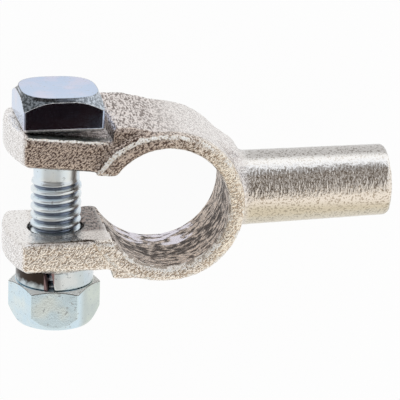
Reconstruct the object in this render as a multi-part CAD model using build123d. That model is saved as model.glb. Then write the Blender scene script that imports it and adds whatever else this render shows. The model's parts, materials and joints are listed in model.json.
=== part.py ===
from build123d import *
import math
import os

# Battery terminal clamp: a cast split ring for a tapered battery post, with a crimp barrel for
# the cable and a pinch bolt through two lugs.
# Frame, in millimetres: Z is the axis of the post bore, with the wide face of the ring on z = 0.
# X runs from the slit towards the cable barrel. Y runs along the pinch bolt towards its head.

os.makedirs("parts", exist_ok=True)

# Split ring
RING_HEIGHT = 18.0
BORE_DIAMETER = 19.2            # post bore at the narrow, upper face
POST_TAPER = 1 / 9              # growth of the bore's diameter per unit of height
BORE_LEAD_IN = 0.5
RING_DIAMETER = 23.8            # outside, at the upper face
RING_STRETCH = 0.9              # the outside is this much longer along X than across
RING_CENTRE_X = -0.25
RING_DRAFT = 1.6                # degrees, the outside widens downwards
RING_EDGE = 0.35                # broken outer edges of the ring

# Lugs
SLIT_WIDTH = 10.8               # gap between the lugs where they leave the ring
SLIT_MOUTH_X = -9.5
UPPER_SPLAY = 4.3               # degrees that the lug under the bolt head opens outwards
LOWER_SPLAY = 1.8               # degrees that the lug above the nut opens outwards
LUG_THICKNESS = 5.1
LUG_HEIGHT = 16.6               # the lugs stop short of the ring's upper face
LUG_REACH = 8.2                 # from the bolt's axis to the lug's free end
LUG_END_RADIUS = 21.5           # crown of the lug's free end, seen along the bolt
LUG_CROWN_Z = 6.2               # height at which the lug reaches farthest out
LUG_EDGE = 0.6                  # broken edges of the lugs
NUT_BOSS_DIAMETER = 14.4
NUT_BOSS_RISE = 0.6

# Shoulders beside the head and the nut
HEAD_STOP_TOP = 13.65           # on the clamp's wide face
HEAD_STOP_DRAFT = 3.3           # degrees
HEAD_STOP_LENGTH = 3.9
HEAD_STOP_RUN_OUT = 8.0
HEAD_STOP_CLEARANCE = 0.15
HEAD_STOP_EDGE = 0.8
NUT_STOP_DEPTH = 11.9
NUT_STOP_X = -8.2
NUT_STOP_EDGE = 0.4

# Cable barrel
BARREL_ROOT_DIAMETER = 11.9
BARREL_END_DIAMETER = 11.3
BARREL_END_X = 36.2
BARREL_Z = 9.6
BARREL_SET = 2.5                # degrees that the barrel leans towards the bolt head
BARREL_EDGE = 0.4
NECK_ROOT_X = 7.0
NECK_SPREAD = 19.9              # width where the neck grows out of the ring
NECK_END_X = 12.9
NECK_WIDTH = 12.0
NECK_BOTTOM = 1.5
NECK_TOP = 11.0
NECK_EDGE = 1.2
CABLE_BORE_DIAMETER = 8.5
CABLE_BORE_DEPTH = 20.0
CABLE_BORE_LEAD_IN = 0.5

# Pinch bolt, 5/16 inch with 18 threads per inch
BOLT_X = -16.3
BOLT_HOLE_DIAMETER = 8.8
THREAD_DIAMETER = 7.94
SHANK_DIAMETER = 7.2
SHANK_LENGTH = 8.8
BOLT_LENGTH = 31.75
BOLT_POINT = 0.8
HEAD_WIDTH = 12.5
HEAD_HEIGHT = 5.35
HEAD_TURN = 3.7                 # degrees that the head lies turned against its stop
HEAD_CROWN_DIAMETER = 12.8      # flat circle on top of the head
HEAD_BEVEL = 37.0               # degrees
HEAD_EDGE = 0.35

# Spring washer
WASHER_DIAMETER = 12.3
WASHER_THICKNESS = 3.2
WASHER_CLEARANCE = 0.1
WASHER_GAP = 1.2
WASHER_GAP_SLANT = 12.0         # degrees
WASHER_EDGE = 0.2
WASHER_TURN = 104.0             # degrees from +X to the gap, towards the ring's upper face

# Nut
NUT_WIDTH = 12.7                # across flats
NUT_HEIGHT = 6.6
NUT_TURN = 5.0                  # degrees from a flat square to Z
NUT_CLEARANCE = 0.05
NUT_FACE_DIAMETER = 12.4
NUT_FACE_BEVEL = 25.0           # degrees, on the washer's side
NUT_END_DIAMETER = 12.2
NUT_END_BEVEL = 60.0            # degrees, on the free side
NUT_LEAD_IN = 0.5

# Derived places
BOLT_Z = LUG_HEIGHT / 2
lug_end_x = BOLT_X - LUG_REACH
SEAT_CLEARANCE = 0.02
bore_radius_top = BORE_DIAMETER / 2
bore_radius_bottom = bore_radius_top + POST_TAPER * RING_HEIGHT / 2


def lug_inner_y(x, splay):
    """Distance from the slit's middle plane to a lug's inner face."""
    return SLIT_WIDTH / 2 + (SLIT_MOUTH_X - x) * math.tan(math.radians(splay))


def lug_outer_y(x, splay):
    """Distance from the slit's middle plane to a lug's outer face."""
    return lug_inner_y(x, splay) + LUG_THICKNESS / math.cos(math.radians(splay))


turn = math.radians(HEAD_TURN)
head_reach = HEAD_WIDTH / 2 * (math.cos(turn) + math.sin(turn))
head_seat_y = lug_outer_y(BOLT_X - head_reach, UPPER_SPLAY) + SEAT_CLEARANCE
head_stop_x = BOLT_X + head_reach + HEAD_STOP_CLEARANCE
nut_boss_y = lug_outer_y(BOLT_X, LOWER_SPLAY) + NUT_BOSS_RISE
washer_top_y = -nut_boss_y - SEAT_CLEARANCE
nut_top_y = washer_top_y - WASHER_THICKNESS - SEAT_CLEARANCE


def along_bolt(y):
    """Plane square to the bolt at height y, with its normal towards the bolt's end."""
    return Plane(origin=(BOLT_X, y, BOLT_Z), x_dir=(1, 0, 0), z_dir=(0, -1, 0))


def upright(outline, height, bottom=0.0):
    """Prism on the XY plane from a closed list of points."""
    face = make_face(Polyline(*outline, close=True))
    return Pos(0, 0, bottom) * extrude(face, amount=height)


def ring_blank():
    outline = Pos(RING_CENTRE_X, 0, RING_HEIGHT) * SlotCenterToCenter(RING_STRETCH, RING_DIAMETER)
    blank = extrude(outline, amount=-RING_HEIGHT, taper=-RING_DRAFT)
    rims = blank.edges().group_by(Axis.Z)
    return chamfer(rims[0] + rims[-1], RING_EDGE)


def lug(side, splay):
    """One lug with a crowned free end. Side is +1 under the bolt head and -1 above the nut."""
    root_x = SLIT_MOUTH_X + LUG_THICKNESS
    inner = [(x, side * lug_inner_y(x, splay)) for x in (root_x, lug_end_x)]
    outer = [(x, side * lug_outer_y(x, splay)) for x in (lug_end_x, root_x)]
    slab = upright(inner + outer, LUG_HEIGHT)
    far = 4 * LUG_THICKNESS
    crown = Plane.XZ * Pos(lug_end_x + LUG_END_RADIUS, LUG_CROWN_Z) * Circle(LUG_END_RADIUS)
    slab &= extrude(crown, amount=far, both=True)
    long_edges = slab.edges().filter_by(lambda edge: edge.length > LUG_THICKNESS * 1.2)
    free = long_edges.filter_by(lambda edge: edge.center().X < root_x - 1)
    return chamfer(free, LUG_EDGE)


def nut_boss():
    face = along_bolt(-lug_inner_y(BOLT_X, LOWER_SPLAY) - LUG_EDGE)
    height = nut_boss_y - lug_inner_y(BOLT_X, LOWER_SPLAY) - LUG_EDGE
    return extrude(face * Circle(NUT_BOSS_DIAMETER / 2), amount=height)


def head_stop():
    """Shoulder beside the bolt head that keeps it from turning, run out into the ring."""
    top_end_x = head_stop_x + HEAD_STOP_LENGTH
    foot_x = top_end_x + HEAD_STOP_RUN_OUT
    foot_y = RING_DIAMETER / 2
    root_y = SLIT_WIDTH / 2 + LUG_THICKNESS / 2
    outline = [(foot_x, root_y), (foot_x, foot_y), (top_end_x, HEAD_STOP_TOP)]
    outline += [(head_stop_x, HEAD_STOP_TOP), (head_stop_x, root_y)]
    face = make_face(Polyline(*outline, close=True))
    block = extrude(face, amount=LUG_HEIGHT, taper=HEAD_STOP_DRAFT)
    upper = block.edges().filter_by(lambda edge: edge.center().Z > LUG_HEIGHT / 4)
    return fillet(upper.sort_by(Axis.Y)[-4:], HEAD_STOP_EDGE)


def nut_stop():
    """Low shoulder beside the spring washer."""
    foot_x = RING_CENTRE_X
    root_y = -SLIT_WIDTH / 2 - LUG_THICKNESS / 2
    outline = [(NUT_STOP_X, root_y), (NUT_STOP_X, -NUT_STOP_DEPTH)]
    outline += [(foot_x, -NUT_STOP_DEPTH), (foot_x, root_y)]
    block = upright(outline, LUG_HEIGHT)
    corner = block.edges().filter_by(Axis.Z).group_by(Axis.Y)[0]
    return fillet(corner, NUT_STOP_EDGE)


def barrel_place():
    """Frame at the barrel's root on the ring, with Z along the barrel."""
    root = Location((bore_radius_top, 0, BARREL_Z), (0, 90, 0))
    return Rot(0, 0, BARREL_SET) * root


def barrel_blank():
    length = BARREL_END_X - bore_radius_top
    root_r = BARREL_ROOT_DIAMETER / 2
    end_r = BARREL_END_DIAMETER / 2
    side = [(0, 0), (root_r, 0), (end_r, length), (0, length)]
    profile = Plane.XZ * make_face(Polyline(*side, close=True))
    solid = revolve(profile, Axis.Z)
    rim = solid.edges().sort_by(Axis.Z)[-1]
    return barrel_place() * chamfer(rim, BARREL_EDGE)


def neck():
    outline = [(NECK_ROOT_X, -NECK_SPREAD / 2), (NECK_END_X, -NECK_WIDTH / 2)]
    outline += [(NECK_END_X, NECK_WIDTH / 2), (NECK_ROOT_X, NECK_SPREAD / 2)]
    block = upright(outline, NECK_TOP - NECK_BOTTOM, NECK_BOTTOM)
    return fillet(block.faces().sort_by(Axis.X)[-1].edges(), NECK_EDGE)


def post_bore():
    """Tapered bore with a lead-in at its upper face."""
    lead_r = bore_radius_top + BORE_LEAD_IN
    lead_z = RING_HEIGHT - BORE_LEAD_IN
    side = [(0, 0), (bore_radius_bottom, 0), (bore_radius_top, lead_z), (lead_r, RING_HEIGHT)]
    side += [(0, RING_HEIGHT)]
    return revolve(Plane.XZ * make_face(Polyline(*side, close=True)), Axis.Z)


def slit():
    """Everything between the two lugs, from the bore outwards."""
    far_x = lug_end_x - LUG_THICKNESS
    outline = [(0, SLIT_WIDTH / 2), (SLIT_MOUTH_X, SLIT_WIDTH / 2)]
    outline += [(far_x, lug_inner_y(far_x, UPPER_SPLAY)), (far_x, -lug_inner_y(far_x, LOWER_SPLAY))]
    outline += [(SLIT_MOUTH_X, -SLIT_WIDTH / 2), (0, -SLIT_WIDTH / 2)]
    return upright(outline, RING_HEIGHT)


def cable_bore():
    length = BARREL_END_X - bore_radius_top
    bore_r = CABLE_BORE_DIAMETER / 2
    lead_r = bore_r + CABLE_BORE_LEAD_IN
    floor = length - CABLE_BORE_DEPTH
    side = [(0, floor), (bore_r, floor), (bore_r, length - CABLE_BORE_LEAD_IN), (lead_r, length)]
    side += [(0, length)]
    return barrel_place() * revolve(Plane.XZ * make_face(Polyline(*side, close=True)), Axis.Z)


def bolt_hole():
    reach = 2 * (SLIT_WIDTH + LUG_THICKNESS)
    return extrude(along_bolt(0) * Circle(BOLT_HOLE_DIAMETER / 2), amount=reach / 2, both=True)


def clamp_casting():
    body = ring_blank() + lug(1, UPPER_SPLAY) + lug(-1, LOWER_SPLAY) + nut_boss()
    body += head_stop() + nut_stop() + neck() + barrel_blank()
    return body - post_bore() - slit() - cable_bore() - bolt_hole()


def bevel_cutter(width, crown_diameter, bevel, height):
    """Blank that keeps what lies inside a cone falling away from a crown circle at height."""
    reach = width
    fall = (reach - crown_diameter / 2) * math.tan(math.radians(bevel))
    side = [(0, 0), (reach, 0), (reach, height - fall), (crown_diameter / 2, height), (0, height)]
    return revolve(Plane.XZ * make_face(Polyline(*side, close=True)), Axis.Z)


def pinch_bolt():
    """Square-head bolt, built along -Z from the underside of its head, then laid on its axis."""
    head = extrude(Rot(0, 0, HEAD_TURN) * Rectangle(HEAD_WIDTH, HEAD_WIDTH), amount=HEAD_HEIGHT)
    head = fillet(head.edges().group_by(Axis.Z)[0], HEAD_EDGE)
    head &= bevel_cutter(HEAD_WIDTH, HEAD_CROWN_DIAMETER, HEAD_BEVEL, HEAD_HEIGHT)
    shank = extrude(Circle(SHANK_DIAMETER / 2), amount=-SHANK_LENGTH)
    thread_length = BOLT_LENGTH - SHANK_LENGTH
    thread = Pos(0, 0, -SHANK_LENGTH) * extrude(Circle(THREAD_DIAMETER / 2), amount=-thread_length)
    ends = thread.edges().filter_by(GeomType.CIRCLE).group_by(Axis.Z)
    step = (THREAD_DIAMETER - SHANK_DIAMETER) / 2
    thread = chamfer(ends[0], BOLT_POINT)
    thread = chamfer(thread.edges().filter_by(GeomType.CIRCLE).group_by(Axis.Z)[-1], step * 0.9)
    solid = head + shank + thread
    return along_bolt(head_seat_y) * Rot(180, 0, 0) * solid


def spring_washer():
    """Split lock washer pressed flat, with a slanted gap."""
    bore_r = THREAD_DIAMETER / 2 + WASHER_CLEARANCE
    profile = Circle(WASHER_DIAMETER / 2) - Circle(bore_r)
    solid = extrude(profile, amount=WASHER_THICKNESS)
    solid = chamfer(solid.edges().filter_by(GeomType.CIRCLE), WASHER_EDGE)
    cut = Box(WASHER_DIAMETER, WASHER_GAP, 3 * WASHER_THICKNESS)
    cut = Pos(WASHER_DIAMETER / 2, 0, WASHER_THICKNESS / 2) * Rot(WASHER_GAP_SLANT, 0, 0) * cut
    solid -= cut
    return along_bolt(washer_top_y) * Rot(0, 0, WASHER_TURN) * solid


def hex_nut():
    hexagon = RegularPolygon(NUT_WIDTH / 2, 6, major_radius=False, rotation=NUT_TURN)
    solid = extrude(hexagon, amount=NUT_HEIGHT)
    solid &= bevel_cutter(NUT_WIDTH, NUT_END_DIAMETER, NUT_END_BEVEL, NUT_HEIGHT)
    flip = Pos(0, 0, NUT_HEIGHT) * Rot(180, 0, 0)
    solid &= flip * bevel_cutter(NUT_WIDTH, NUT_FACE_DIAMETER, NUT_FACE_BEVEL, NUT_HEIGHT)
    bore_r = THREAD_DIAMETER / 2 + NUT_CLEARANCE
    lead_r = bore_r + NUT_LEAD_IN
    side = [(0, 0), (lead_r, 0), (bore_r, NUT_LEAD_IN), (bore_r, NUT_HEIGHT - NUT_LEAD_IN)]
    side += [(lead_r, NUT_HEIGHT), (0, NUT_HEIGHT)]
    solid -= revolve(Plane.XZ * make_face(Polyline(*side, close=True)), Axis.Z)
    return along_bolt(nut_top_y) * solid


PIECES = {
    "clamp_casting": clamp_casting,
    "pinch_bolt": pinch_bolt,
    "spring_washer": spring_washer,
    "hex_nut": hex_nut,
}

for name, make in PIECES.items():
    export_step(make(), f"parts/{name}.step")
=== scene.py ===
import json
import math

import bmesh
import bpy
import numpy as np
from mathutils import Matrix, Vector, noise


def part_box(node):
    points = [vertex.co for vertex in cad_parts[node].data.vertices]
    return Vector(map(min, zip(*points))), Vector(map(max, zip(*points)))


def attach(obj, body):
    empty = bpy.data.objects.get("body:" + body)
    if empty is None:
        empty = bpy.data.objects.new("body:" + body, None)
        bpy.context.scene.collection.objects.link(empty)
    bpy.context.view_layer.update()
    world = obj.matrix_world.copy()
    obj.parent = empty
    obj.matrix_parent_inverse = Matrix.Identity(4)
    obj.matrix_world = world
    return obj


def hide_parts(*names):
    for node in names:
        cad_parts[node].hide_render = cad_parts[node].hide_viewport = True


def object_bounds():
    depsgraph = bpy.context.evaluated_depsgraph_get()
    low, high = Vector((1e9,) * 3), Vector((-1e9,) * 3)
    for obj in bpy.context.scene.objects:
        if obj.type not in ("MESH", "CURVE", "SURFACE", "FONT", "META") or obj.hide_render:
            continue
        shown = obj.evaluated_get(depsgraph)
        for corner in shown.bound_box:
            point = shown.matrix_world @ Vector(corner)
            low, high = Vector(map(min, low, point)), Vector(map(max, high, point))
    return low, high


# Looks of the battery terminal clamp: a tin-plated cast ring with its cable barrel, and a zinc-plated
# square-head bolt with spring washer and nut. Shapes are worked out in millimetres and scaled once,
# when a mesh is made. Angles about the bolt run from +X towards +Z.

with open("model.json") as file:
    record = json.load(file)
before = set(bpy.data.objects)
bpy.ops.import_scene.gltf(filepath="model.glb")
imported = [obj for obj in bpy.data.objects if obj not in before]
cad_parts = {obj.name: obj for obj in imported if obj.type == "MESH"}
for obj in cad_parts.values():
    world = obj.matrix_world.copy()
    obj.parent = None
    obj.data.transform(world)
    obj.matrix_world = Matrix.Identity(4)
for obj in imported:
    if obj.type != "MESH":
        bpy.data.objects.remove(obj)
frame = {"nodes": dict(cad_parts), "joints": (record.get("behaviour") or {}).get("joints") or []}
cad_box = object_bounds()

MM = 0.001

# Fineness of the meshes
VOXEL = 0.265         # side of the cubes that the casting's mesh is made from
BOLT_AROUND = 200      # points round the axis
NUT_AROUND = 144
WASHER_AROUND = 160
BOLT_THREAD_STEPS = 16  # points along a pitch
NUT_THREAD_STEPS = 18
SAME_PLACE = 0.002              # points this near one another are joined
CAD_SAME_PLACE = 0.0005

# Bolt
HEAD_HEIGHT = 5.35
HEAD_WIDTH = 12.5
HEAD_TURN = 3.7                 # degrees that a flat of the head lies turned from Z towards X
HEAD_CORNER = 0.3               # rounding of the head's upright edges
HEAD_CORNER_SPAN = 2.6          # degrees on either side of such an edge, with points close together
HEAD_EDGE = 0.12                # rounding of the upper edge of each side
HEAD_EDGE_TILTS = 50, 32, 15, 0     # degrees at which its points lie
HEAD_FOOT = 0.5                 # rounding of the lower edge
HEAD_CROWN_RADIUS = 6.0         # of the raised crown, towards the middle of a side
HEAD_CROWN_SPREAD = 0.6         # how much farther it reaches towards a corner
HEAD_CROWN_STEP = 0.58          # height of the crown's rim over the bevel
HEAD_CROWN_FALL = 0.2           # width of that step
HEAD_BEVEL = 38.0               # degrees
HEAD_DISH = 0.12                # hollow in the middle of the crown
HEAD_DISH_MARGIN = 0.15         # from the hollow to the crown's rim
SHANK_RADIUS = 3.58             # at the thread
SHANK_TOP_RADIUS = 3.85         # under the head
SHANK_LENGTH = 8.8
SHANK_CHAMFER = 0.2             # where it meets the head
SHANK_TOP = 0.3                 # it narrows from this far below the head
SHANK_END = 0.1                 # to this far above the thread
THREAD_RADIUS = 3.97
THREAD_PITCH = 25.4 / 18
THREAD_DEPTH = 0.70
THREAD_CREST = 0.22             # half width of the crest, as a share of half the pitch
THREAD_ROOT = 0.92              # where the flank meets the root, as a share of half the pitch
THREAD_PHASE = -0.15            # of a pitch
THREAD_RUN_OUT = 1.0            # pitches over which the thread starts
POINT_LENGTH = 0.8
POINT_HOLLOW = 0.02             # in the middle of the bolt's end

# Nut
NUT_WIDTH = 12.7
NUT_TURN = 5.0                  # degrees that a corner of the nut lies turned from X towards Z
NUT_CORNER = 0.4
NUT_CORNER_SPAN = 2.0
NUT_FACE_RADIUS = 6.2
NUT_FACE_BEVEL = 25.0           # degrees, on the washer's side
NUT_END_RADIUS = 6.1
NUT_END_BEVEL = 60.0            # degrees, on the free side
NUT_LEAD_RADIUS = 4.5           # of the lead-in, at either face
NUT_THREAD_GAP = 0.06
NUT_THREAD_CREST = 3.4
NUT_ROUNDING = [0.05, 0.3, 0.18, 0.18, 0.3, 0.05]   # of the profile's corners, from lead-in to lead-in

# Spring washer
WASHER_BORE = 4.07
WASHER_GAP = 1.2
WASHER_GAP_SLANT = 12.0         # degrees
WASHER_TURN = 104.0             # degrees from +X to the gap
WASHER_EDGE = 0.3

# Casting
POST_BORE_TOP = 9.6             # radius at the upper face
POST_TAPER = 1 / 9              # of the diameter
BORE_SKIN = 0.22                # how far a point of the bore's wall may lie from its cone
BORE_SLIT = -9.3                # X at which the wall ends, at the slit
SOFT_EDGE = 0.32                # how far the cast edges are rounded
LIP_Y = -5.6                    # place of the lower lug's inner front edge
LIP_Z = 16.6
LIP_FADE = -10.5, -8.5          # X over which it runs out into the ring
LIP_SOFTENING = 0.3             # extra rounding of this edge
LIP_REACH = 1.4                 # how far from the edge it ends
LIP_CORE = 0.4                  # share of this reach that is wholly softened
SAND_HEIGHT = 0.05              # unevenness left by the sand mould
SAND_SIZE = 0.9
SAND_IN_BORE = 0.15             # share of it in the post bore
SAND_FADE = 11.5, 13.5          # X over which half of it is lost, towards the barrel

bolt_axis = next(j for j in frame["joints"] if j["name"] == "nut_turn")["pos_m"]
BOLT_X = bolt_axis[0] / MM
BOLT_Z = bolt_axis[2] / MM


def node_box(node):
    """Lowest and highest corner of a CAD node, in millimetres."""
    low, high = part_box(node)
    return np.array(low) / MM, np.array(high) / MM


# ---------------------------------------------------------------- mesh helpers

def make_piece(name, points, faces, body, node, materials):
    """Object from millimetre points, riding on a body in place of a CAD node."""
    mesh = bpy.data.meshes.new(name)
    mesh.from_pydata([tuple(p) for p in np.asarray(points) * MM], [], faces)
    piece = bpy.data.objects.new(name, mesh)
    bpy.context.scene.collection.objects.link(piece)
    clean(mesh, SAME_PLACE * MM)
    for material in materials:
        mesh.materials.append(material)
    mesh.polygons.foreach_set("use_smooth", [True] * len(mesh.polygons))
    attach(piece, body)
    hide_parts(node)
    return piece


def clean(mesh, near):
    """Joins points that lie near one another and turns all faces outwards."""
    work = bmesh.new()
    work.from_mesh(mesh)
    bmesh.ops.remove_doubles(work, verts=work.verts, dist=near)
    bmesh.ops.dissolve_degenerate(work, edges=work.edges, dist=near / 10)
    bmesh.ops.recalc_face_normals(work, faces=work.faces)
    work.to_mesh(mesh)
    work.free()
    mesh.update()


def smooth(low, high, value):
    """Share of the way from low to high, with a smooth start and end."""
    share = np.clip((value - low) / (high - low), 0, 1)
    return share * share * (3 - 2 * share)


STRAIGHT = 1e-3                 # a corner this flat isn't rounded


def rounded(corners, radii, steps=4, beside=0.05):
    """Open profile with its inner corners rounded, and a point kept close on both sides of each arc.

    A corner on a straight line takes up as many points as the others, so that profiles can be joined."""
    corners = [np.array(c, float) for c in corners]
    points = [corners[0]]
    for before, corner, after, radius in zip(corners, corners[1:], corners[2:], radii):
        back = (before - corner) / np.linalg.norm(before - corner)
        ahead = (after - corner) / np.linalg.norm(after - corner)
        middle = back + ahead
        if np.linalg.norm(middle) < STRAIGHT:
            points += [corner] * (steps + 3)
            continue
        half = math.acos(np.clip(back @ ahead, -1, 1)) / 2
        cut = radius / math.tan(half)
        centre = corner + middle / np.linalg.norm(middle) * radius / math.sin(half)
        start = (corner + back * cut - centre) / radius
        end = (corner + ahead * cut - centre) / radius
        sweep = math.pi - 2 * half
        points.append(corner + back * (cut + beside))
        for i in range(steps + 1):
            share = i / steps
            mix = math.sin((1 - share) * sweep) * start + math.sin(share * sweep) * end
            points.append(centre + radius * mix / math.sin(sweep))
        points.append(corner + ahead * (cut + beside))
    return np.array(points + [corners[-1]])


def prism_radius(angle, width, sides, flat_angle, corner):
    """Distance from the axis to the side of a prism with rounded upright edges."""
    part = 2 * math.pi / sides
    off = (angle - flat_angle + part / 2) % part - part / 2
    reach = width / 2
    tangent = math.atan(math.tan(part / 2) * (1 - corner / reach))
    if abs(off) <= tangent:
        return reach / math.cos(off)
    centre = (reach - corner) / math.cos(part / 2)
    swing = part / 2 - abs(off)
    across = centre * math.sin(swing)
    return centre * math.cos(swing) + math.sqrt(corner ** 2 - across ** 2)


def prism_angles(sides, flat_angle, around, corner_span):
    """Angles all round, closer together at the upright edges of a prism."""
    part = 2 * math.pi / sides
    even = np.arange(around) * 2 * math.pi / around
    near = np.linspace(-1, 1, 9) * corner_span
    corners = [flat_angle + part * (i + 0.5) + near for i in range(sides)]
    return np.unique(np.round(np.concatenate([even, *corners]) % (2 * math.pi), 4))


def around_bolt(angle, radius, height):
    """Point at a height along Y beside the bolt's axis."""
    return BOLT_X + radius * math.cos(angle), height, BOLT_Z + radius * math.sin(angle)


def faces_between(rows, count, all_round, closed):
    """Faces between rows of count points. The last row joins the first if the rows go all round, and
    the last point of each row joins its first if the rows are closed."""
    faces = []
    for i in range(rows if all_round else rows - 1):
        here = i * count
        there = (i + 1) % rows * count
        for j in range(count if closed else count - 1):
            k = (j + 1) % count
            faces.append((here + j, here + k, there + k, there + j))
    return faces


def turned(angles, profile, closed):
    """Points and faces of a skin through profile(angle), a list of (radius, height)."""
    rows = [profile(angle) for angle in angles]
    points = [around_bolt(a, r, y) for a, row in zip(angles, rows) for r, y in row]
    return points, faces_between(len(rows), len(rows[0]), all_round=True, closed=closed)


# ---------------------------------------------------------------- bolt, washer and nut

bolt_low, bolt_high = node_box("pinch_bolt")
head_top = bolt_high[1]
head_seat = head_top - HEAD_HEIGHT
bolt_end = bolt_low[1]
thread_start = head_seat - SHANK_LENGTH
head_flat_angle = math.radians(90 - HEAD_TURN)
nut_flat_angle = math.radians(30 + NUT_TURN)


def thread_radius(angle, height):
    """Radius of the bolt's right-hand thread at an angle and height."""
    turns = (thread_start - height) / THREAD_PITCH - angle / (2 * math.pi) + THREAD_PHASE
    off_crest = abs((turns + 0.5) % 1 - 0.5) * 2
    return THREAD_RADIUS - THREAD_DEPTH * smooth(THREAD_CREST, THREAD_ROOT, off_crest)


def head_top_profile(angle, side):
    """Rim of the crown, bevel and upper edge of the head, where its side lies at a distance from the axis."""
    last = side - HEAD_EDGE
    rim = HEAD_CROWN_RADIUS + HEAD_CROWN_SPREAD * math.sin(2 * (angle - head_flat_angle)) ** 2
    foot = min(rim + HEAD_CROWN_FALL, last)
    slope = math.tan(math.radians(HEAD_BEVEL))
    fall = HEAD_CROWN_STEP + (last - foot) * slope
    top = [(r, head_top - HEAD_CROWN_STEP * smooth(rim, foot, r)) for r in np.linspace(rim, foot, 9)]
    top += [(r, head_top - HEAD_CROWN_STEP - (r - foot) * slope) for r in np.linspace(foot, last, 8)[1:]]
    tilts = np.radians(HEAD_EDGE_TILTS)
    middle = head_top - fall - HEAD_EDGE
    return top + [(last + HEAD_EDGE * math.cos(t), middle + HEAD_EDGE * math.sin(t)) for t in tilts]


def bolt_thread(angle):
    """Start of the thread, thread and point, down to the middle of the bolt's end."""
    count = int((thread_start - bolt_end) / THREAD_PITCH * BOLT_THREAD_STEPS)
    heights = np.linspace(thread_start, bolt_end, count)
    full = np.array([thread_radius(angle, y) for y in heights])
    start = smooth(0, THREAD_RUN_OUT * THREAD_PITCH, thread_start - heights)
    point = THREAD_RADIUS - POINT_LENGTH + (heights - bolt_end)
    radii = np.minimum(SHANK_RADIUS + (full - SHANK_RADIUS) * start, point)
    end = [(radii[-1] * s, bolt_end + POINT_HOLLOW * (1 - s)) for s in (0.94, 0.6, 0.3, 0)]
    return [*zip(radii, heights), *end]


def bolt_profile(angle):
    """From the middle of the crown to the middle of the bolt's end."""
    side = prism_radius(angle, HEAD_WIDTH, 4, head_flat_angle, HEAD_CORNER)
    top = head_top_profile(angle, side)
    rim = top[0][0] - HEAD_DISH_MARGIN
    dish = [(rim * s, head_top - HEAD_DISH * (1 - s ** 4)) for s in np.linspace(0, 1, 9)]
    corners = [(side, head_top - HEAD_HEIGHT / 2), (side, head_seat)]
    corners += [(SHANK_TOP_RADIUS + SHANK_CHAMFER, head_seat), (SHANK_TOP_RADIUS, head_seat - SHANK_CHAMFER)]
    foot = rounded(corners, [HEAD_FOOT, SHANK_CHAMFER / 2])
    heights = np.linspace(head_seat - SHANK_TOP, thread_start + SHANK_END, 8)
    shank = zip(np.linspace(SHANK_TOP_RADIUS, SHANK_RADIUS, 8), heights)
    return [*dish, *top, *foot[:-1], *shank, *bolt_thread(angle)]


def make_bolt(material):
    """Bolt turned from its profile, with a square head and a thread that winds round."""
    angles = prism_angles(4, head_flat_angle, BOLT_AROUND, math.radians(HEAD_CORNER_SPAN))
    points, faces = turned(angles, bolt_profile, closed=False)
    return make_piece("square_head_bolt", points, faces, "clamp", "pinch_bolt", [material])


nut_low, nut_high = node_box("hex_nut")
nut_face = nut_high[1]
nut_end = nut_low[1]


def nut_profile(angle):
    """Closed profile, round the outside and back along the inner thread."""
    side = prism_radius(angle, NUT_WIDTH, 6, nut_flat_angle, NUT_CORNER)
    face_fall = max(side - NUT_FACE_RADIUS, 0) * math.tan(math.radians(NUT_FACE_BEVEL))
    end_fall = max(side - NUT_END_RADIUS, 0) * math.tan(math.radians(NUT_END_BEVEL))
    lead = NUT_LEAD_RADIUS
    step = lead - THREAD_RADIUS
    corners = [(THREAD_RADIUS, nut_face - step), (lead, nut_face), (NUT_FACE_RADIUS, nut_face)]
    corners += [(side, nut_face - face_fall), (side, nut_end + end_fall), (NUT_END_RADIUS, nut_end)]
    corners += [(lead, nut_end), (THREAD_RADIUS, nut_end + step)]
    outside = rounded(corners, NUT_ROUNDING)
    count = int((nut_face - nut_end) / THREAD_PITCH * NUT_THREAD_STEPS)
    inner = np.linspace(nut_end + step, nut_face - step, count)
    radii = [max(thread_radius(angle, y) + NUT_THREAD_GAP, NUT_THREAD_CREST) for y in inner]
    return [*outside, *zip(radii, inner)]


def make_nut(material):
    """Nut turned from its profile, with six sides and a thread that winds round."""
    angles = prism_angles(6, nut_flat_angle, NUT_AROUND, math.radians(NUT_CORNER_SPAN))
    points, faces = turned(angles, nut_profile, closed=True)
    return make_piece("hexagon_nut", points, faces, "nut", "hex_nut", [material])


washer_low, washer_high = node_box("spring_washer")


def washer_section():
    """Closed section with rounded edges, as points (radius, height)."""
    outer = (washer_high[0] - washer_low[0]) / 2
    top, bottom = washer_high[1], washer_low[1]
    middle = (top + bottom) / 2
    box = [(WASHER_BORE, middle), (WASHER_BORE, top), (outer, top), (outer, bottom), (WASHER_BORE, bottom)]
    return rounded([*box, (WASHER_BORE, middle)], [WASHER_EDGE] * 4)[:-1]


def make_washer(material):
    """Ring with a slanted gap."""
    section = washer_section()
    middle = (washer_high[1] + washer_low[1]) / 2
    slant = math.radians(WASHER_GAP_SLANT)
    points = []
    for share in np.linspace(0, 1, WASHER_AROUND):
        for radius, height in section:
            lean = (middle - height) * math.sin(slant)
            first = math.asin((WASHER_GAP / 2 - lean) / math.cos(slant) / radius)
            last = 2 * math.pi + math.asin((-WASHER_GAP / 2 - lean) / math.cos(slant) / radius)
            angle = first + (last - first) * share + math.radians(WASHER_TURN)
            points.append(around_bolt(angle, radius, height))
    count = len(section)
    faces = faces_between(WASHER_AROUND, count, all_round=False, closed=True)
    faces.append(tuple(range(count)))
    faces.append(tuple(range(len(points) - count, len(points))))
    piece = make_piece("split_washer", points, faces, "washer", "spring_washer", [material])
    for face in piece.data.polygons:
        face.use_smooth = len(face.vertices) <= 4
    return piece


# ---------------------------------------------------------------- casting

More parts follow.
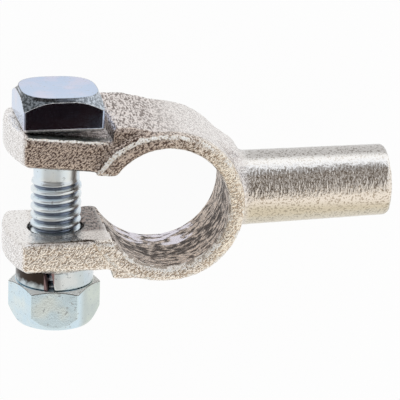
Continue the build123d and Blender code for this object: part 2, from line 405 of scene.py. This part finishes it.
def evenly_divided_casting():
    """Mesh of the CAD casting in millimetres, divided into small even faces."""
    mesh = frame["nodes"]["clamp_casting"].data.copy()
    mesh.transform(Matrix.Scale(1 / MM, 4))
    clean(mesh, CAD_SAME_PLACE)
    source = bpy.data.objects.new("casting_source", mesh)
    bpy.context.scene.collection.objects.link(source)
    remesh = source.modifiers.new("remesh", "REMESH")
    remesh.mode = "VOXEL"
    remesh.voxel_size = VOXEL
    graph = bpy.context.evaluated_depsgraph_get()
    made = bpy.data.meshes.new_from_object(source.evaluated_get(graph))
    bpy.data.objects.remove(source)
    return made


def soften(points, edges, reach, share, pull=0.5):
    """Rounds edges about reach deep, by share, by pulling points towards the mean of their neighbours."""
    first, second = edges.T
    degree = np.bincount(edges.ravel(), minlength=len(points))[:, None]
    rounds = max(1, round((reach / (pull * VOXEL)) ** 2))    # the depth grows with the root of the rounds
    for _ in range(rounds):
        mean = np.stack([np.bincount(first, points[second, i], len(points))
                         + np.bincount(second, points[first, i], len(points)) for i in range(3)], 1)
        points = points + pull * share[:, None] * (mean / degree - points)
    return points


def bore_radius(height):
    """Radius of the tapered post bore at a height."""
    top = node_box("clamp_casting")[1][2]
    return POST_BORE_TOP + POST_TAPER / 2 * (top - height)


def in_post_bore(points):
    """Whether points lie on the wall of the post bore."""
    off = np.hypot(points[:, 0], points[:, 1]) - bore_radius(points[:, 2])
    return (abs(off) < BORE_SKIN) & (points[:, 0] > BORE_SLIT)


def read(items, name, width, kind=float):
    """A property of all points, edges or faces of a mesh, as rows of width numbers."""
    values = np.empty(len(items) * width, kind)
    items.foreach_get(name, values)
    return values.reshape(-1, width)


def make_casting(cast, bore):
    """Cast body with soft edges and an uneven sand-cast surface, and its own material in the post bore."""
    mesh = evenly_divided_casting()
    edges = read(mesh.edges, "vertices", 2, int)
    points = read(mesh.vertices, "co", 3)
    points = soften(points, edges, SOFT_EDGE, np.ones(len(points)))
    lip = np.hypot(points[:, 1] - LIP_Y, points[:, 2] - LIP_Z)
    share = (1 - smooth(LIP_REACH * LIP_CORE, LIP_REACH, lip)) * (1 - smooth(*LIP_FADE, points[:, 0]))
    points = soften(points, edges, LIP_SOFTENING, share)
    mesh.vertices.foreach_set("co", points.ravel())
    mesh.update()
    normals = read(mesh.vertex_normals, "vector", 3)
    rough = np.array([noise.fractal(Vector(p) / SAND_SIZE, 1.0, 2.0, 2) for p in points])
    rough *= np.where(in_post_bore(points), SAND_IN_BORE, 1) * (1 - 0.5 * smooth(*SAND_FADE, points[:, 0]))
    low, high = node_box("clamp_casting")
    points = np.clip(points + normals * (rough * SAND_HEIGHT)[:, None], low, high)
    faces = [tuple(p.vertices) for p in mesh.polygons]
    piece = make_piece("cast_clamp", points, faces, "clamp", "clamp_casting", [cast, bore])
    wall = in_post_bore(read(piece.data.polygons, "center", 3) / MM)
    piece.data.polygons.foreach_set("material_index", wall.astype(int))
    bpy.data.meshes.remove(mesh)
    return piece


# ---------------------------------------------------------------- materials

class Nodes:
    """Adds nodes to a tree. What a method returns can be an input of the next."""

    def __init__(self, tree):
        self.tree = tree

    def set(self, node, key, value):
        """Sets an input of a node, or links it to another node's output."""
        if isinstance(value, bpy.types.NodeSocket):
            self.tree.links.new(value, node.inputs[key])
        else:
            node.inputs[key].default_value = value

    def add(self, kind, inputs, output=0, **settings):
        """New node with its inputs set or linked. Returns one of its outputs."""
        node = self.tree.nodes.new("ShaderNode" + kind)
        for key, value in settings.items():
            setattr(node, key, value)
        for key, value in inputs.items():
            self.set(node, key, value)
        return node.outputs[output]

    def parts(self, vector):
        """Parts of a vector along X, Y and Z."""
        return self.add("SeparateXYZ", {0: vector}).node.outputs

    def math(self, operation, a, b=0.0):
        return self.add("Math", {0: a, 1: b}, operation=operation)

    def all_of(self, first, *others):
        """Product of shares."""
        for other in others:
            first = self.math("MULTIPLY", first, other)
        return first

    def distance(self, a, b):
        """Distance from an axis, by the distances along the two others."""
        off = self.add("CombineXYZ", {0: a, 1: b})
        return self.add("VectorMath", {0: off}, output=1, operation="LENGTH")

    def ramp(self, value, low, high, start=0.0, end=1.0):
        """Value from low..high spread smoothly over start..end."""
        inputs = {"Value": value, "From Min": low, "From Max": high, "To Min": start, "To Max": end}
        return self.add("MapRange", inputs, interpolation_type="SMOOTHSTEP")

    def mix(self, share, a, b):
        """Colour between a and b."""
        inputs = {0: share, 6: a, 7: b}
        return self.add("Mix", inputs, output=2, data_type="RGBA")


class Finish(Nodes):
    """A material under construction. Node coordinates are millimetres."""

    def __init__(self, name):
        self.material = bpy.data.materials.new(name)
        self.material.use_nodes = True
        super().__init__(self.material.node_tree)
        self.shader = self.tree.nodes["Principled BSDF"]
        coordinates = self.add("TexCoord", {}, output="Object")
        self.place = self.add("VectorMath", {0: coordinates, "Scale": 1 / MM}, operation="SCALE")

    def axes(self):
        """Coordinates along X, Y and Z."""
        return self.parts(self.place)

    def facing(self):
        """How far the surface faces X, Y and Z, from -1 to 1."""
        return self.parts(self.add("TexCoord", {}, output="Normal"))

    def noise(self, size, detail=2.0, stretch=(1, 1, 1), offset=0.0, turn=0.0, place=None):
        """Noise from 0 to 1 with spots of about size millimetres, stretched along axes turned about Z."""
        inputs = {"Vector": place or self.place, "Scale": stretch, "Location": (offset, 0, 0)}
        inputs["Rotation"] = (0, 0, math.radians(turn))
        laid = self.add("Mapping", inputs, vector_type="TEXTURE")
        inputs = {"Vector": laid, "Scale": 0.5 / size, "Detail": detail, "Roughness": 0.55}
        return self.add("TexNoise", inputs)

    def bump(self, height, depth):
        """Normal from a height from 0 to 1 that stands for depth in millimetres."""
        return self.add("Bump", {"Height": height, "Distance": depth * MM, "Strength": 1.0})

    def finish(self, **inputs):
        """Sets the shader's inputs, whose names have an underscore for each space."""
        for key, value in inputs.items():
            self.set(self.shader, key.replace("_", " "), value)
        return self.material


def colour(r, g, b):
    """Opaque colour from linear red, green and blue."""
    return (r, g, b, 1.0)


# Areas of the casting that look different, each the product of soft limits: a measure in millimetres, its
# value where the area ends and its value where the area is whole. An earlier area can limit a later one,
# by its name alone, or as a measure from 0 to 1.
AREAS = {
    "barrel": [("x", 11.5, 14.0)],
    "front": [("z", 15.6, 16.3)],
    "between_lugs": [("x", -8.0, -10.0), ("beside_slit", 6.6, 5.9), ("z", 16.5, 16.2)],
    "lower_front": ["front", ("y", 0.0, -3.0)],
    "front_at_barrel": ["front", ("x", 4.0, 9.0)],
    "front_at_head": ["front", ("y", 1.0, 7.5), ("x", 10.0, -3.0)],
    "barrel_underside": ["barrel", ("y", 0.5, -1.5)],
    "barrel_back": ["barrel", ("y", 3.0, 4.0), ("z", 12.6, 11.4)],
    "shoulder": [("x", 5.0, -4.0), ("front", 1.0, 0.0), ("y", 5.0, 7.0)],
    "lug_ends": [("x", -21.7, -22.5), ("z", 16.4, 15.9)],
    "free_inner_end": ["between_lugs", ("x", -18.5, -21.0)],
    "shaded_deep_corner": ["between_lugs", ("x", -14.5, -12.5), ("z", 12.6, 11.2)],
    # Where the bolt's head sits on the upper lug, for a painted shadow
    "shadow_under_head": [("y", 10.3, 10.7), ("z", 14.0, 14.6), ("z", 16.4, 16.1), ("x", -8.5, -9.5),
                  ("x", -21.9, -21.3)],
}

# Coats over the casting, laid one over another: area, grain, colour of the grain's spots and beside them
# Several of these coats are painted light and shade, as marked.
CAST_COATS = [
    # Painted light: the front paler on its lower part
    ("lower_front", "pits", colour(0.50, 0.41, 0.33), colour(1.0, 0.94, 0.86)),
    ("front_at_barrel", "pits", colour(0.62, 0.51, 0.40), colour(1.0, 0.93, 0.81)),
    # Painted shade: the front darker brown below the bolt's head
    ("front_at_head", "pits", colour(0.12, 0.08, 0.065), colour(0.62, 0.52, 0.45)),
    # Painted shade: the barrel darker on its underside
    ("barrel_underside", "specks", colour(0.40, 0.355, 0.28), colour(0.66, 0.60, 0.48)),
    # Painted shade: a darker strip along the top of the barrel, towards its back
    ("barrel_back", "specks", colour(0.26, 0.24, 0.22), colour(0.56, 0.54, 0.52)),
    ("shoulder", "coarse", colour(0.20, 0.155, 0.135), colour(0.82, 0.755, 0.72)),
    # Painted light: the lugs' ends towards -X paler
    ("lug_ends", "pits", colour(0.74, 0.71, 0.69), colour(0.97, 0.95, 0.94)),
    # Painted shade: darker between the lugs
    ("between_lugs", "specks", colour(0.31, 0.28, 0.255), colour(0.64, 0.595, 0.555)),
    # Painted light: paler again between the lugs towards their free ends
    ("free_inner_end", "specks", colour(0.60, 0.57, 0.55), colour(0.86, 0.84, 0.82)),
    # Painted shade: near black deep in the corner between the lugs, beside the bolt
    ("shaded_deep_corner", "coarse", colour(0.02, 0.016, 0.014), colour(0.25, 0.20, 0.18)),
    # Painted shadow under the bolt's head: nearly black
    ("shadow_under_head", "specks", colour(0.02, 0.024, 0.02), colour(0.12, 0.13, 0.11)),
]


def casting_areas(make, x, y, z):
    """Share of each area of the casting at a point."""
    found = {"x": x, "y": y, "z": z, "beside_slit": make.math("ABSOLUTE", y)}
    for name, limits in AREAS.items():
        shares = []
        for limit in limits:
            if isinstance(limit, str):
                shares.append(found[limit])
            else:
                measure, outside, inside = limit
                shares.append(make.ramp(found[measure], outside, inside))
        found[name] = make.all_of(*shares)
    return found


def cast_colour(make, areas, grains, facing_up):
    """Pale tin, dark and brown in the grain, with another coat on each area, and painted highlight and shade
    on the barrel.
    """
    pits, specks = grains["pits"], grains["specks"]
    tone = make.noise(2.6, 3.0, offset=11.0)
    pale = make.mix(tone, colour(0.86, 0.82, 0.78), colour(0.95, 0.92, 0.90))
    sides = make.mix(pits, colour(0.68, 0.63, 0.61), pale)
    front = make.mix(pits, colour(0.38, 0.29, 0.22), colour(1.0, 0.93, 0.84))
    # Painted highlight and shade on the barrel: lighter colours where it faces up, darker ones below
    below = make.ramp(facing_up, 0.66, 0.54)
    dark = make.mix(below, colour(0.80, 0.76, 0.71), colour(0.46, 0.39, 0.315))
    light = make.mix(below, colour(1.0, 0.985, 0.96), colour(0.86, 0.80, 0.73))
    base = make.mix(areas["front"], sides, front)
    base = make.mix(areas["barrel"], base, make.mix(specks, dark, light))
    for area, grain, dark, light in CAST_COATS:
        base = make.mix(areas[area], base, make.mix(grains[grain], dark, light))
    return base


def cast_tin():
    """Tin-plated casting: sand grain on the ring and lugs, a fine drawn grain on the barrel, painted
    highlights on edges and painted light and shade on some areas.
    """
    make = Finish("cast_tin")
    x, y, z = make.axes()
    facing = make.facing()
    areas = casting_areas(make, x, y, z)
    flat_grain = make.noise(0.14, 2.5, stretch=(1.4, 0.9, 1.1), turn=38)
    tall_grain = make.noise(0.13, 2.0, stretch=(1.0, 1.0, 2.5), offset=19.0)
    grain = make.add("Mix", {0: make.ramp(facing[1], 0.5, 0.8), 2: flat_grain, 3: tall_grain})
    fine = make.noise(0.16, 1.0, offset=3.0)
    coarse = make.noise(0.16, 3.0, stretch=(1.0, 1.0, 2.5), offset=13.0)
    grains = {
        "pits": make.ramp(grain, 0.43, 0.53),
        "specks": make.ramp(fine, 0.34, 0.50),
        "coarse": make.ramp(coarse, 0.42, 0.54),
    }
    # Painted highlight along edges: pale, rougher and hardly metallic, so that the lamps light it
    edge_highlight = painted_edge_highlight(make, facing[2], x, y, z)
    # Colour of the painted edge highlight
    rubbed = make.mix(grains["pits"], colour(0.84, 0.76, 0.65), colour(1.0, 1.0, 0.97))
    base = make.mix(edge_highlight, cast_colour(make, areas, grains, facing[1]), rubbed)
    rough = make.math("ADD", make.ramp(fine, 0.3, 0.7, 0.14, 0.26), make.math("MULTIPLY", edge_highlight, 0.3))
    metal = make.ramp(edge_highlight, 0.0, 1.0, 1.0, 0.15)
    sandy = make.bump(make.math("ADD", grain, make.noise(0.6, 1.0, offset=7.0)), 0.24)
    drawn = make.bump(make.noise(0.15, 2.0, stretch=(1, 2.6, 2.6), offset=17.0), 0.07)
    smoother = make.math("MAXIMUM", areas["barrel"], areas["between_lugs"])
    normal = make.add("Mix", {0: smoother, 4: sandy, 5: drawn}, output=1, data_type="VECTOR")
    return make.finish(Base_Color=base, Metallic=metal, Roughness=rough, Normal=normal)


def painted_edge_highlight(make, up, x, y, z):
    """Where edges get a painted highlight: round the ring's upper face, and over the front of the upper lug.
    """
    uneven = make.math("ADD", up, make.ramp(make.noise(0.3, 2.0, offset=41.0), 0.3, 0.7, -0.14, 0.14))
    wide = make.all_of(make.ramp(uneven, 0.32, 0.42), make.ramp(up, 0.985, 0.95))
    narrow = make.all_of(make.ramp(up, 0.5, 0.6), make.ramp(up, 0.88, 0.78))
    ragged = make.ramp(make.noise(0.22, 1.0, offset=31.0), 0.32, 0.44)
    broken = make.ramp(make.noise(0.9, 2.0, offset=21.0), 0.46, 0.56)
    whole = make.all_of(make.ramp(x, 5.0, 0.0), make.ramp(y, 2.0, 4.0))
    outer_rim = make.math("MAXIMUM", make.ramp(make.distance(x, y), 10.6, 10.9), make.ramp(y, 0.0, -2.0))
    ring = make.all_of(make.ramp(z, 17.0, 17.3), make.math("MAXIMUM", broken, whole), outer_rim, wide, ragged)
    upper_lug = make.all_of(make.ramp(y, 9.6, 10.2), make.ramp(z, 15.7, 16.0), make.ramp(x, -9.0, -10.0))
    return make.math("MAXIMUM", ring, make.all_of(upper_lug, ragged, narrow))


def worn_bore():
    """Wall of the post bore: streaked and soiled, with rubbed patches, most of them low towards -Y, painted
    shade halfway down, and a painted highlight in dashes round its upper rim.
    """
    make = Finish("worn_bore")
    x, y, z = make.axes()
    way_round = make.math("MULTIPLY", make.math("ARCTAN2", y, x), POST_BORE_TOP)
    unrolled = make.add("CombineXYZ", {0: way_round, 1: z})
    streaks = make.noise(0.32, 4.0, stretch=(2.2, 1.4, 1), place=unrolled)
    grain = make.noise(0.2, 1.0, offset=5.0)
    rub = make.noise(1.0, 4.0, stretch=(1.6, 1, 1), offset=2.0, place=unrolled)
    band = make.all_of(make.ramp(z, 8.5, 6.0), make.ramp(y, -7.0, -9.0))
    # Painted shade: the wall less clear, and so darker, halfway down the bore
    deep = make.all_of(make.ramp(z, 6.5, 8.5), make.ramp(z, 14.5, 11.5))
    worn = make.math("ADD", make.math("MULTIPLY", rub, 0.8), make.math("MULTIPLY", streaks, 0.3))
    rubbed = make.ramp(make.math("ADD", worn, make.math("MULTIPLY", band, 0.2)), 0.70, 0.78)
    clear = make.ramp(make.math("SUBTRACT", streaks, make.math("MULTIPLY", deep, 0.08)), 0.36, 0.54)
    dull = make.mix(clear, colour(0.085, 0.052, 0.036), colour(0.58, 0.46, 0.37))
    dull = make.mix(make.ramp(grain, 0.54, 0.42, 0.0, 0.7), dull, colour(0.11, 0.085, 0.07))
    base = make.mix(rubbed, dull, colour(0.72, 0.68, 0.75))
    # Painted highlight: pale dashes round the bore's upper rim, not metallic, so that the lamps light them
    dashes = make.ramp(make.noise(0.7, 2.0), 0.46, 0.54)
    rim = make.mix(dashes, colour(0.46, 0.40, 0.34), colour(1.0, 0.95, 0.88))
    base = make.mix(make.ramp(z, 16.9, 17.2), base, rim)
    metal = make.all_of(make.math("MAXIMUM", clear, rubbed), make.ramp(z, 17.2, 16.9))
    rough = make.ramp(metal, 0.0, 1.0, 0.6, 0.26)
    height = make.math("ADD", make.math("MULTIPLY", streaks, 1.2), make.math("MULTIPLY", grain, 0.4))
    return make.finish(Base_Color=base, Metallic=metal, Roughness=rough, Normal=make.bump(height, 0.26))


def zinc(make, tint, bloom_tint):
    """Colour of zinc plating with a faint bloom of another tint and small dull specks."""
    bloom = make.ramp(make.noise(2.0, 2.0), 0.40, 0.66)
    dull = make.ramp(make.noise(0.3, 3.0, offset=4.0), 0.40, 0.28)
    return make.mix(dull, make.mix(bloom, tint, bloom_tint), colour(0.42, 0.46, 0.48))


def off_bolt(make, x, z):
    """Distances from the bolt's axis along X and Z."""
    return make.math("SUBTRACT", x, BOLT_X), make.math("SUBTRACT", z, BOLT_Z)


def head_bevel(make, y, up, radius):
    """Shares of the bevel round the head's crown, and of the painted highlights along edges on it and at the
    head's foot.
    """
    upper = make.ramp(y, head_seat + 2, head_seat + 2.4)
    outer = make.all_of(upper, make.ramp(radius, 5.8, 5.9))
    bevel = make.all_of(outer, make.all_of(make.ramp(up, 0.1, 0.25), make.ramp(up, 0.985, 0.95)))
    edge_highlight = make.all_of(make.ramp(up, 0.74, 0.66), make.ramp(y, head_top - 0.56, head_top - 0.62))
    foot = make.all_of(make.ramp(up, -0.06, -0.16), make.ramp(y, head_seat - 0.1, head_seat))
    return bevel, make.math("MAXIMUM", make.all_of(bevel, edge_highlight), foot)


def zinc_bolt():
    """Blue on the head; scale-speckled on its bevel, with painted shade darkest towards -X; painted
    highlights on its edges; paler on the shank; painted shade in the thread.
    """
    make = Finish("zinc_bolt")
    x, y, z = make.axes()
    radius = make.distance(*off_bolt(make, x, z))
    bevel, edges = head_bevel(make, y, make.facing()[1], radius)
    shank = make.ramp(y, head_seat, head_seat - 0.3)
    root = make.all_of(make.ramp(radius, 3.56, 3.34), make.ramp(y, thread_start, thread_start - 1))
    scale = make.ramp(make.noise(0.2, 2.0, offset=2.0), 0.40, 0.62)
    dark = make.mix(scale, colour(0.05, 0.057, 0.062), colour(0.20, 0.22, 0.24))
    clear = make.mix(scale, colour(0.26, 0.29, 0.32), colour(0.60, 0.66, 0.73))
    # Painted shade on the bevel: darkest towards -X, paler towards +X
    scaly_and_shaded = make.mix(make.ramp(x, BOLT_X - 1, BOLT_X + 5), dark, clear)
    base = make.mix(bevel, zinc(make, colour(0.47, 0.58, 0.77), colour(0.58, 0.60, 0.75)), scaly_and_shaded)
    # Painted highlight: near-white along the head's edges, and rougher there
    base = make.mix(edges, base, make.mix(scale, colour(0.72, 0.72, 0.74), colour(1.0, 1.0, 1.0)))
    base = make.mix(shank, base, zinc(make, colour(0.73, 0.82, 0.89), colour(0.82, 0.87, 0.89)))
    # Painted shade in the thread's roots
    base = make.mix(root, base, colour(0.24, 0.28, 0.36))
    fine = make.noise(0.15, 1.0, offset=9.0)
    rough = make.ramp(fine, 0.3, 0.7, 0.08, 0.12)
    for area, rougher in ((shank, 0.2), (bevel, 0.18), (edges, 0.45)):
        rough = make.math("ADD", rough, make.math("MULTIPLY", area, rougher))
    return make.finish(Base_Color=base, Metallic=1.0, Roughness=rough, Normal=make.bump(fine, 0.002))


def zinc_washer():
    """Pale zinc, with patchy painted shade on the side towards -X, and a matt reddish gap."""
    make = Finish("zinc_washer")
    x, y, z = make.axes()
    off_x, off_z = off_bolt(make, x, z)
    side = make.ramp(off_x, -0.6, -1.4)
    height = make.math("MULTIPLY", make.math("SUBTRACT", y, washer_low[1]), 0.25)
    patchy = make.math("MULTIPLY", make.noise(0.6, 3.0, offset=6.0), 0.6)
    # Painted shade: near black in patches on the side towards -X, more of it towards the lug
    shaded_side = make.all_of(side, make.ramp(make.math("SUBTRACT", patchy, height), 0.26, -0.02))
    turn = math.radians(WASHER_TURN)
    across = make.math("ADD", make.math("MULTIPLY", off_x, math.sin(turn)),
                       make.math("MULTIPLY", off_z, -math.cos(turn)))
    gap = make.all_of(make.ramp(make.math("ABSOLUTE", across), 0.86, 0.76), make.ramp(off_z, 0.0, 1.0))
    base = make.mix(shaded_side, zinc(make, colour(0.58, 0.66, 0.70), colour(0.68, 0.72, 0.74)),
                    colour(0.045, 0.034, 0.028))
    base = make.mix(gap, base, colour(0.44, 0.31, 0.31))
    rough = make.math("ADD", make.math("MULTIPLY", gap, 0.5), 0.2)
    return make.finish(Base_Color=base, Metallic=1.0, Roughness=rough)


def zinc_nut():
    """Pale, stained towards +X and grainy in patches, with a matt near-white bevel as a painted highlight,
    and a painted shadow line round its foot.
    """
    make = Finish("zinc_nut")
    x, _, z = make.axes()
    off_x, off_z = off_bolt(make, x, z)
    up = make.facing()[1]
    bevel = make.all_of(make.ramp(up, 0.5, 0.7), make.ramp(make.distance(off_x, off_z), 6.2, 6.3))
    line = make.all_of(make.ramp(up, 0.1, 0.2), make.ramp(up, 0.62, 0.5))
    clear = zinc(make, colour(0.62, 0.76, 0.84), colour(0.72, 0.80, 0.80))
    stained = zinc(make, colour(0.52, 0.58, 0.56), colour(0.60, 0.66, 0.60))
    base = make.mix(make.ramp(off_x, 3.0, 4.5), clear, stained)
    # Painted highlight: the bevel near-white, rougher and hardly metallic, so that the lamps light it
    base = make.mix(bevel, base, colour(0.95, 1.0, 1.0))
    # Painted shadow: a dark line round the nut's foot, where it meets the washer
    base = make.mix(line, base, colour(0.16, 0.14, 0.12))
    matt = make.ramp(make.noise(1.6, 1.0, offset=3.0), 0.36, 0.56)
    height = make.all_of(make.noise(0.15, 1.0, offset=4.0), matt)
    rough = make.math("ADD", make.math("MULTIPLY", bevel, 0.35), 0.18)
    metal = make.ramp(make.math("MAXIMUM", bevel, line), 0.0, 1.0, 1.0, 0.2)
    return make.finish(Base_Color=base, Metallic=metal, Roughness=rough, Normal=make.bump(height, 0.008))


# ---------------------------------------------------------------- stage, light and camera

AIM = Vector((6.684, -2.05, 8.0)) * MM     # seen at the middle of the picture
CAMERA_DISTANCE = 347.7 * MM
CAMERA_YAW = 10.3                          # degrees
CAMERA_PITCH = 19.3
CAMERA_ROLL = 2.45
CAMERA_NEAR = 0.01
CAMERA_FAR = 10
PIXELS = 400                               # side of the photograph
FOCAL_PIXELS = 2190.9
SENSOR = 36.0

FLOOR_SIZE = 3.0
FLOOR_GAP = 0.02 * MM
FLOOR_TINT = colour(0.86, 0.86, 0.86)
FLOOR_GLOW = 0.96               # share of plain white that the floor shows where it is seen directly

WARM_WALL = colour(1.0, 0.96, 0.90)
COOL_WALL = colour(0.96, 0.98, 1.02)
DARK_OPENING = colour(0.20, 0.18, 0.165)
# Directions over which these set in, as the part of a vector of length 1 along one axis
COOL_ALONG_Y = -0.5, 0.5
OPENING_ALONG_Z = 0.18, 0.36
OPENING_ALONG_Y = -0.36, -0.33  # its lower edge, which rises by 1 over OPENING_RISE_ALONG_X
OPENING_RISE_ALONG_X = 0.18, 0.44
WINDOW_ALONG_Y = 0.45, 0.6
WINDOW_ALONG_X = 0.1, -0.1


def make_camera():
    """Camera of the photograph, which looks about along -Z and has about +Y upwards in its picture."""
    yaw, pitch, roll = (math.radians(v) for v in (CAMERA_YAW, CAMERA_PITCH, CAMERA_ROLL))
    away = Vector((math.sin(yaw) * math.cos(pitch), -math.sin(pitch), -math.cos(yaw) * math.cos(pitch)))
    level = Vector((math.cos(yaw), 0, math.sin(yaw)))
    upright = level.cross(away)
    right = level * math.cos(roll) + upright * math.sin(roll)
    up = upright * math.cos(roll) - level * math.sin(roll)
    data = bpy.data.cameras.new("camera")
    data.sensor_width = SENSOR
    data.lens = FOCAL_PIXELS / PIXELS * SENSOR
    data.clip_start = CAMERA_NEAR
    data.clip_end = CAMERA_FAR
    camera = bpy.data.objects.new("camera", data)
    place = Matrix((right, up, -away)).transposed().to_4x4()
    place.translation = AIM - away * CAMERA_DISTANCE
    camera.matrix_world = place
    bpy.context.scene.collection.objects.link(camera)
    bpy.context.scene.camera = camera


def dull_paint(name, tint, roughness):
    """Material of a stage object, without reflections."""
    material = bpy.data.materials.new(name)
    material.use_nodes = True
    paint = material.node_tree.nodes["Principled BSDF"]
    paint.inputs["Base Color"].default_value = tint
    paint.inputs["Roughness"].default_value = roughness
    paint.inputs["Specular IOR Level"].default_value = 0.0
    return material


def make_card(name, width, height, material):
    """Rectangle about its own origin, facing its own Z."""
    across, along = width / 2, height / 2
    corners = [(-across, -along, 0), (across, -along, 0), (across, along, 0), (-across, along, 0)]
    mesh = bpy.data.meshes.new(name)
    mesh.from_pydata(corners, [], [(0, 1, 2, 3)])
    mesh.materials.append(material)
    card = bpy.data.objects.new(name, mesh)
    bpy.context.scene.collection.objects.link(card)
    return card


def seen_directly(make):
    """1 on camera, glossy and transmission rays, which see the plain white ground."""
    path = make.add("LightPath", {}).node.outputs
    seen = make.math("MAXIMUM", path["Is Camera Ray"], path["Is Glossy Ray"])
    return make.math("MAXIMUM", seen, path["Is Transmission Ray"])


def make_floor():
    """Pale floor just under the clamp."""
    material = dull_paint("pale_floor", FLOOR_TINT, 0.9)
    make = Nodes(material.node_tree)
    paint = make.tree.nodes["Principled BSDF"].outputs[0]
    white = make.add("Emission", {"Strength": 1.0})
    share = make.math("MULTIPLY", seen_directly(make), FLOOR_GLOW)
    shown = make.add("MixShader", {0: share, 1: paint, 2: white})
    make.set(make.tree.nodes["Material Output"], "Surface", shown)
    floor = make_card("floor", FLOOR_SIZE, FLOOR_SIZE, material)
    floor.location = (0, 0, cad_box[0].z - FLOOR_GAP)


def make_world():
    """Pale room, warm below and cool above, with a dark opening in front and a window at its upper left."""
    world = bpy.data.worlds.new("studio")
    bpy.context.scene.world = world
    world.use_nodes = True
    make = Nodes(world.node_tree)
    make.tree.nodes.clear()
    x, y, z = make.parts(make.add("TexCoord", {}, output="Generated"))
    low, high = OPENING_RISE_ALONG_X
    rise = make.add("MapRange", {"Value": x, "From Min": low, "From Max": high, "To Max": 1.0})
    above_edge = make.ramp(make.math("SUBTRACT", y, rise), *OPENING_ALONG_Y)
    window = make.all_of(make.ramp(y, *WINDOW_ALONG_Y), make.ramp(x, *WINDOW_ALONG_X))
    opening = make.all_of(make.ramp(z, *OPENING_ALONG_Z), above_edge, make.ramp(window, 1.0, 0.0))
    wall = make.mix(make.ramp(y, *COOL_ALONG_Y), WARM_WALL, COOL_WALL)
    light = make.mix(opening, wall, DARK_OPENING)
    room = make.add("Background", {"Color": light, "Strength": 1.0})
    output = make.tree.nodes.new("ShaderNodeOutputWorld")
    make.set(output, "Surface", room)


def make_flag(name, centre, facing, width, height, tint):
    """Dark card that only shows as a reflection. Its place and sizes are millimetres."""
    flag = make_card(name, width * MM, height * MM, dull_paint(name, tint, 1.0))
    flag.location = Vector(centre) * MM
    flag.rotation_euler = Vector(facing).to_track_quat("Z", "Y").to_euler()
    flag.visible_camera = False
    flag.visible_diffuse = False
    flag.visible_shadow = False


def make_lamp(name, place, size, power):
    """Round lamp that faces the clamp and isn't reflected. Its place and size are metres."""
    data = bpy.data.lights.new(name, "AREA")
    data.shape = "DISK"
    data.size = size
    data.energy = power
    lamp = bpy.data.objects.new(name, data)
    lamp.location = place
    lamp.visible_glossy = False
    lamp.rotation_euler = (AIM - Vector(place)).to_track_quat("-Z", "Y").to_euler()
    bpy.context.scene.collection.objects.link(lamp)


# ---------------------------------------------------------------- the scene

make_camera()
make_floor()
make_world()
make_lamp("key_lamp", place=(0.15, 0.75, 0.20), size=0.30, power=1.4)
make_flag("front_flag", centre=(-2, 1, 71), facing=(-0.229, 0.297, -0.927), width=34, height=23,
          tint=colour(0.018, 0.008, 0.009))
make_casting(cast_tin(), worn_bore())
make_bolt(zinc_bolt())
make_washer(zinc_washer())
make_nut(zinc_nut())
bpy.context.scene.view_settings.view_transform = "Standard"
